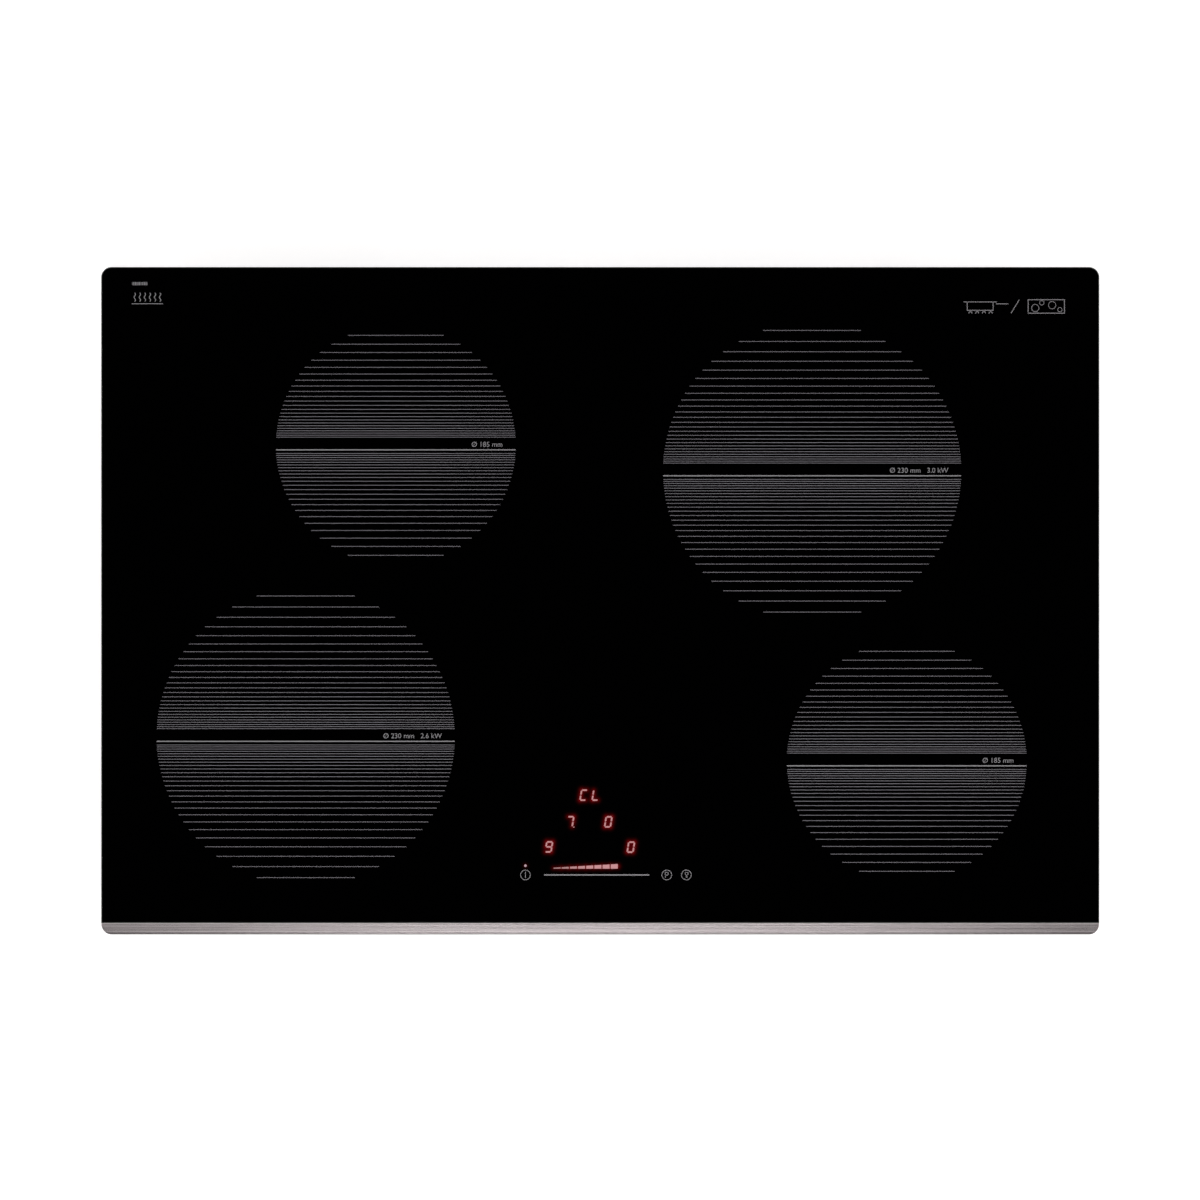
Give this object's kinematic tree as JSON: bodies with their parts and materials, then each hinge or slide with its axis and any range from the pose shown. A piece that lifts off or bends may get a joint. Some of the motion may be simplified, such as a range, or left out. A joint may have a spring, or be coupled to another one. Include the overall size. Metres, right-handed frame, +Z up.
{
  "type": "electric induction cooktop",
  "caption": "Built-in induction cooktop: a black glass plate with printed cooking zones and touch controls over a steel casing with coils, power boards and blowers.",
  "frame": {"origin": "middle of the worktop's top face, on which the seal under the glass rests", "axes": "+X to the user's right along the glass, +Y away from the user, +Z up through the glass"},
  "size_m": [0.77, 0.515, 0.0588],
  "materials": {
    "glass_black": "polished black glass-ceramic with a ground edge and fine printed lines",
    "trim_steel": "stainless strip brushed lengthwise",
    "seal_foam": "closed-cell foam",
    "silicone": "cured silicone bead",
    "pan_steel": "zinc-coated sheet steel with a faint spangle",
    "screw_steel": "bright zinc",
    "tray_aluminium": "mill-finish sheet",
    "nylon_white": "moulded nylon",
    "spring_steel": "drawn spring wire",
    "silicone_cable": "silicone insulation",
    "chip_black": "moulded epoxy",
    "capacitor_case": "sleeved cans and potted boxes",
    "choke_copper": "enamelled wire on a ring",
    "stator_steel": "stacked sheet with a ground shaft",
    "carrier_plastic": "moulded, fine spark texture",
    "circuit_board": "solder mask over fibreglass",
    "display_case": "moulded light guide",
    "pad_foam": "conductive foam",
    "terminal_plastic": "glass-filled nylon",
    "cover_plastic": "moulded, fine spark texture",
    "former_plastic": "glass-filled nylon",
    "litz_copper": "twisted enamelled copper strands",
    "ferrite": "sintered and ground",
    "mica": "pressed mica flakes",
    "sensor_boot": "soft silicone boot with a ceramic cap",
    "heatsink_aluminium": "extruded, unfinished",
    "fan_plastic": "moulded",
    "clamp_steel": "yellow-zinc sheet steel"
  },
  "bodies": {
    "casing": {"glass_plate": "glass_black", "front_trim": "trim_steel", "seal_gasket": "seal_foam", "glass_adhesive": "silicone", "support_frame": "pan_steel", "base_pan": "pan_steel", "case_screws": "screw_steel", "coil_tray": "tray_aluminium", "coil_posts": "nylon_white", "coil_springs": "spring_steel", "coil_leads": "silicone_cable", "board_standoffs": "nylon_white", "power_transistors": "chip_black", "bus_capacitors": "capacitor_case", "power_chokes": "choke_copper", "fan_stators": "stator_steel", "control_carrier": "carrier_plastic", "control_board": "circuit_board", "display_modules": "display_case", "touch_pads": "pad_foam", "control_cable": "silicone_cable", "cable_inlet": "terminal_plastic", "terminal_block": "terminal_plastic", "power_board_left": "circuit_board", "heatsink_left": "heatsink_aluminium", "fan_housing_left": "fan_plastic", "power_board_right": "circuit_board", "heatsink_right": "heatsink_aluminium", "fan_housing_right": "fan_plastic"},
    "coil_front_left": {"coil_former_front_left": "former_plastic", "coil_winding_front_left": "litz_copper", "coil_ferrites_front_left": "ferrite", "coil_mica_front_left": "mica", "coil_sensor_front_left": "sensor_boot"},
    "coil_rear_left": {"coil_former_rear_left": "former_plastic", "coil_winding_rear_left": "litz_copper", "coil_ferrites_rear_left": "ferrite", "coil_mica_rear_left": "mica", "coil_sensor_rear_left": "sensor_boot"},
    "coil_rear_right": {"coil_former_rear_right": "former_plastic", "coil_winding_rear_right": "litz_copper", "coil_ferrites_rear_right": "ferrite", "coil_mica_rear_right": "mica", "coil_sensor_rear_right": "sensor_boot"},
    "coil_front_right": {"coil_former_front_right": "former_plastic", "coil_winding_front_right": "litz_copper", "coil_ferrites_front_right": "ferrite", "coil_mica_front_right": "mica", "coil_sensor_front_right": "sensor_boot"},
    "blower_wheel_left": {"fan_impeller_left": "fan_plastic"},
    "blower_wheel_right": {"fan_impeller_right": "fan_plastic"},
    "clamp_front_left": {"clamp_screw_front_left": "screw_steel"},
    "clamp_arm_front_left": {"clamp_bracket_front_left": "clamp_steel"},
    "clamp_front_right": {"clamp_screw_front_right": "screw_steel"},
    "clamp_arm_front_right": {"clamp_bracket_front_right": "clamp_steel"},
    "clamp_rear_left": {"clamp_screw_rear_left": "screw_steel"},
    "clamp_arm_rear_left": {"clamp_bracket_rear_left": "clamp_steel"},
    "clamp_rear_right": {"clamp_screw_rear_right": "screw_steel"},
    "clamp_arm_rear_right": {"clamp_bracket_rear_right": "clamp_steel"},
    "terminal_door": {"terminal_cover": "cover_plastic"}
  },
  "joints": [
    {"name": "coil_front_left_travel", "type": "slide", "parent": "casing", "child": "coil_front_left", "axis": [0, 0, -1], "range_m": [0, 0.0025], "stiffness_N_per_m": 4000, "springref_m": -0.005, "deforming": ["coil_springs"]},
    {"name": "coil_rear_left_travel", "type": "slide", "parent": "casing", "child": "coil_rear_left", "axis": [0, 0, -1], "range_m": [0, 0.0025], "stiffness_N_per_m": 4000, "springref_m": -0.005, "deforming": ["coil_springs"]},
    {"name": "coil_rear_right_travel", "type": "slide", "parent": "casing", "child": "coil_rear_right", "axis": [0, 0, -1], "range_m": [0, 0.0025], "stiffness_N_per_m": 4000, "springref_m": -0.005, "deforming": ["coil_springs"]},
    {"name": "coil_front_right_travel", "type": "slide", "parent": "casing", "child": "coil_front_right", "axis": [0, 0, -1], "range_m": [0, 0.0025], "stiffness_N_per_m": 4000, "springref_m": -0.005, "deforming": ["coil_springs"]},
    {"name": "fan_left_spin", "type": "hinge", "parent": "casing", "child": "blower_wheel_left", "pos_m": [-0.275, -0.16, -0.037], "axis": [0, 0, 1], "continuous": true},
    {"name": "fan_right_spin", "type": "hinge", "parent": "casing", "child": "blower_wheel_right", "pos_m": [0.275, -0.16, -0.037], "axis": [0, 0, 1], "continuous": true},
    {"name": "clamp_front_left_swing", "type": "hinge", "parent": "casing", "child": "clamp_front_left", "pos_m": [-0.3635, -0.1684, -0.04], "axis": [0, 0, 1], "range_deg": [0, 90]},
    {"name": "clamp_front_left_lift", "type": "slide", "parent": "clamp_front_left", "child": "clamp_arm_front_left", "axis": [0, 0, 1], "range_m": [0, 0.02]},
    {"name": "clamp_front_right_swing", "type": "hinge", "parent": "casing", "child": "clamp_front_right", "pos_m": [0.3635, -0.1684, -0.04], "axis": [0, 0, -1], "range_deg": [0, 90]},
    {"name": "clamp_front_right_lift", "type": "slide", "parent": "clamp_front_right", "child": "clamp_arm_front_right", "axis": [0, 0, 1], "range_m": [0, 0.02]},
    {"name": "clamp_rear_left_swing", "type": "hinge", "parent": "casing", "child": "clamp_rear_left", "pos_m": [-0.3635, 0.1684, -0.04], "axis": [0, 0, -1], "range_deg": [0, 90]},
    {"name": "clamp_rear_left_lift", "type": "slide", "parent": "clamp_rear_left", "child": "clamp_arm_rear_left", "axis": [0, 0, 1], "range_m": [0, 0.02]},
    {"name": "clamp_rear_right_swing", "type": "hinge", "parent": "casing", "child": "clamp_rear_right", "pos_m": [0.3635, 0.1684, -0.04], "axis": [0, 0, 1], "range_deg": [0, 90]},
    {"name": "clamp_rear_right_lift", "type": "slide", "parent": "clamp_rear_right", "child": "clamp_arm_rear_right", "axis": [0, 0, 1], "range_m": [0, 0.02]},
    {"name": "terminal_cover_hinge", "type": "hinge", "parent": "casing", "child": "terminal_door", "pos_m": [0.26, 0.2003, -0.0493], "axis": [-1, 0, 0], "range_deg": [0, 100]}
  ]
}
